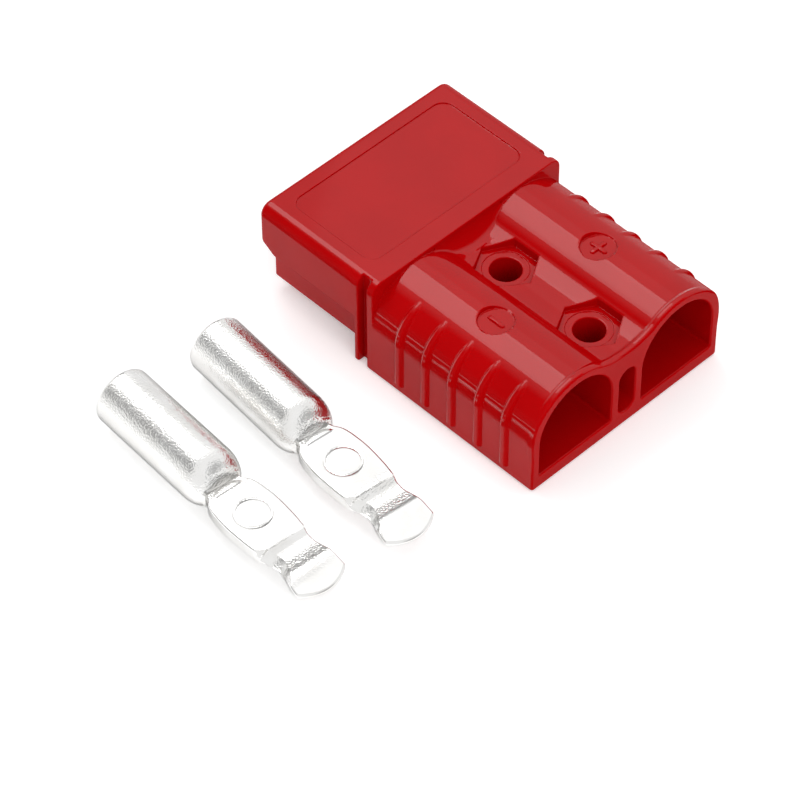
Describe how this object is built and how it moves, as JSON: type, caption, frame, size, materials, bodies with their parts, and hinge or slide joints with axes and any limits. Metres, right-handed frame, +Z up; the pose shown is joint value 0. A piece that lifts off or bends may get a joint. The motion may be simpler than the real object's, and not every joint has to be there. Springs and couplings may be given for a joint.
{
  "type": "battery power connector",
  "caption": "Genderless two-pole power connector housing with a hooded mating end, arched cable tunnels, grip ribs and mounting holes, with its crimp contacts beside it.",
  "frame": {"origin": "on the housing's underside, midway between its two mounting holes", "axes": "+Z up out of the underside, +X towards the cable entries, the mating end towards -X"},
  "size_m": [0.0814, 0.1135, 0.0256],
  "materials": {
    "housing": "glossy red moulded plastic",
    "contact": "bright silver plate with a fine grain along the barrel",
    "spring": "plain spring steel"
  },
  "bodies": {
    "root": {"housing": "housing", "contact_near": "contact", "contact_far": "contact", "contact_spring_left": "spring", "contact_spring_right": "spring"}
  },
  "joints": []
}
